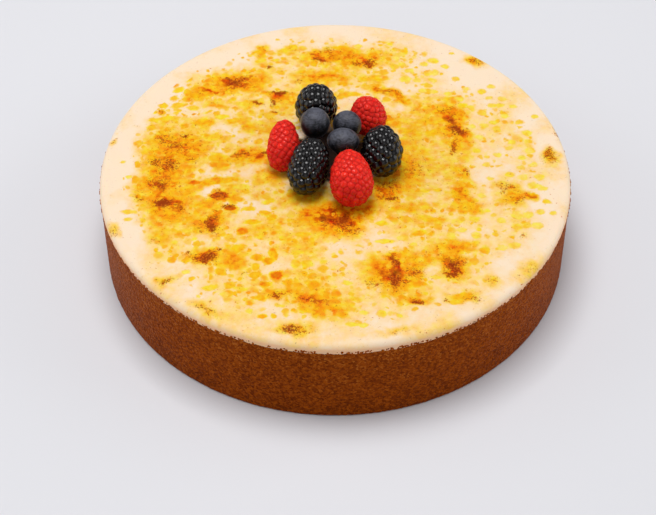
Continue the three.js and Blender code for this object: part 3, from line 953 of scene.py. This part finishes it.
def berry_hairs(name, tips, ways):
    """The dry style at each drupelet's tip: a thin thread, modelled once, with a kink."""
    rng = random.Random(name + "_hairs")
    select_only()
    bpy.ops.mesh.primitive_cone_add(
        vertices=4, radius1=THREAD_WIDTH / 2, radius2=THREAD_WIDTH / 6, depth=1, location=(0, 0, 0.5))
    thread = new_piece("style")
    bpy.ops.object.mode_set(mode="EDIT")
    bpy.ops.mesh.bisect(plane_co=(0, 0, 0.5), plane_no=(0, 0, 1))
    pick("verts", lambda v: v.co.z > 0.9)
    bpy.ops.transform.translate(value=(0.3, 0, 0))
    bpy.ops.object.mode_set(mode="OBJECT")
    threads = []
    for tip, way in zip(tips, ways):
        length = rng.uniform(*THREAD_LENGTHS)
        aside = Vector([rng.uniform(-0.5, 0.5) for _ in range(3)])
        facing = (way + aside).to_track_quat("Z", "Y").to_matrix().to_4x4()
        turn = Matrix.Rotation(rng.uniform(0, 2 * math.pi), 4, "Z")
        shape = Matrix.Diagonal((MM, MM, length * MM, 1))
        threads.append(copy_of(thread, Matrix.Translation(tip * MM) @ facing @ turn @ shape))
    bpy.data.objects.remove(thread)
    return join(name + "_hairs", threads)


def berries():
    """The raspberries, with their dry styles, and the brambles."""
    raspberry = raspberry_skin()
    hair = raspberry_hair()
    bramble = bramble_skin()
    for name, berry in STANDING_BERRIES.items():
        if name.startswith("bramble"):
            skin, _, _ = drupelet_berry(name, berry, BRAMBLE_KIND)
            dress(skin, bramble, "bramble", name)
        else:
            skin, tips, ways = drupelet_berry(name, berry, RASPBERRY_KIND)
            dress(skin, raspberry, "raspberry", name)
            dress(berry_hairs(name, tips, ways), hair, "raspberry")


# Blueberries

# The crown: the radii of its outside and of its ring, and the width of the ring, as shares of the
# berry's radius, and then the rise, the dimple and the teeth, as shares of half its height
CROWN = dict(outside=0.42, ring=0.3, wall=0.12, rise=0.1, dimple=0.24, teeth=0.08)


def blueberry(name, berry):
    """A flattened ball with the open crown of five blunt teeth round a shallow dimple."""
    select_only()
    radius = berry["width"] / 2
    half = berry["length"] / 2
    bpy.ops.mesh.primitive_uv_sphere_add(segments=20, ring_count=14, radius=radius * MM)
    ball = new_piece(name + "_skin")
    bpy.ops.object.mode_set(mode="EDIT")
    bpy.ops.mesh.select_all(action="SELECT")
    bpy.ops.transform.resize(value=(1, 1, half / radius))
    outside = CROWN["outside"] * radius * MM
    rise, dimple, teeth = (CROWN[part] * half * MM for part in ("rise", "dimple", "teeth"))
    pick("faces", lambda f: f.calc_center_median().z > 0 and f.calc_center_median().xy.length < outside)
    extrude(0, 0, rise)
    bpy.ops.mesh.inset(thickness=CROWN["wall"] * radius * MM)
    extrude(0, 0, -dimple)

    # Five teeth: the ring's outer edge is pulled up where they are
    ring = CROWN["ring"] * radius * MM
    raised = half * MM
    pick("verts", lambda v: v.co.z > raised and v.co.xy.length > ring
         and math.cos(5 * math.atan2(v.co.y, v.co.x)) > 0.3)
    bpy.ops.transform.translate(value=(0, 0, teeth))
    bpy.ops.object.mode_set(mode="OBJECT")
    finish_with(ball, "SUBSURF", levels=2, render_levels=2)
    ball.data.transform(turned_and_leaning(berry))
    fit(ball, name)
    # Painted light and shade: the bloom is thickest on top and gone from the lower part
    height = vertex_places(ball)[:, 2]
    keep(ball, "wax_and_painted_light", np.clip((height - height.min()) / np.ptp(height) * 1.5 - 0.6, 0, 1))
    smooth(ball, 60)
    return ball


# The room

def floor_and_lights():
    """A plain pale floor under plain soft studio light."""
    select_only()
    bpy.ops.mesh.primitive_plane_add(size=8, location=(0, 0, -0.02 * MM))
    floor = new_piece("studio_floor")
    material, tree = new_material("matt_paper")
    shader = add(tree, "BsdfPrincipled", None,
                 {"Base Color": linear("#dcdce0"), "Roughness": 0.9, "Specular IOR Level": 0.2})
    add(tree, "OutputMaterial", None, {"Surface": shader.outputs[0]})
    floor.data.materials.append(material)

    target = Vector((0, 0, CAKE_TOP))
    lights = [
        ("key_softbox", (-0.1, 0.08, 1.25), 0.65, 11.6),
        ("left_softbox", (-1.4, 0.1, 0.5), 1.3, 6),
        ("right_softbox", (1.4, 0.1, 0.5), 1.3, 7.5),
        ("front_softbox", (0, -1.6, 0.8), 1.4, 3),
    ]
    for name, place, size, power in lights:
        data = bpy.data.lights.new(name, "AREA")
        data.shape = "SQUARE"
        data.size = size
        data.energy = power
        light = bpy.data.objects.new(name, data)
        bpy.context.scene.collection.objects.link(light)
        light.location = place
        light.rotation_euler = (target - light.location).to_track_quat("-Z", "Y").to_euler()

    world = bpy.data.worlds.new("studio")
    bpy.context.scene.world = world
    world.use_nodes = True
    background = world.node_tree.nodes["Background"]
    background.inputs["Color"].default_value = linear("#f4f5f8")
    background.inputs["Strength"].default_value = 0.28


def camera():
    """A camera at the picture's angle and distance."""
    data = bpy.data.cameras.new("picture_camera")
    data.lens = CAMERA_LENS
    data.sensor_width = 36
    data.clip_start = 0.01
    place = bpy.data.objects.new("picture_camera", data)
    bpy.context.scene.collection.objects.link(place)
    aim = Matrix.Rotation(math.pi / 2 - CAMERA_ELEVATION, 4, "X") @ Matrix.Rotation(-CAMERA_ROLL, 4, "Z")
    place.matrix_world = Matrix.Translation(CAMERA_PLACE) @ aim
    bpy.context.scene.camera = place


camera()
floor_and_lights()
bpy.context.scene.view_settings.view_transform = "Standard"

crumb = biscuit_crumb()
dress(crumb_crust(), crumb, "crumb_crust", "crust")
dress(rim_crumbs(), crumb, "crumb_crust")
dress(cream_filling(), torched_cream(), "browned_cream", "filling")
berries()
waxed = blueberry_skin()
for berry_name, blue in BLUEBERRIES.items():
    dress(blueberry(berry_name, blue), waxed, "blueberry", berry_name)
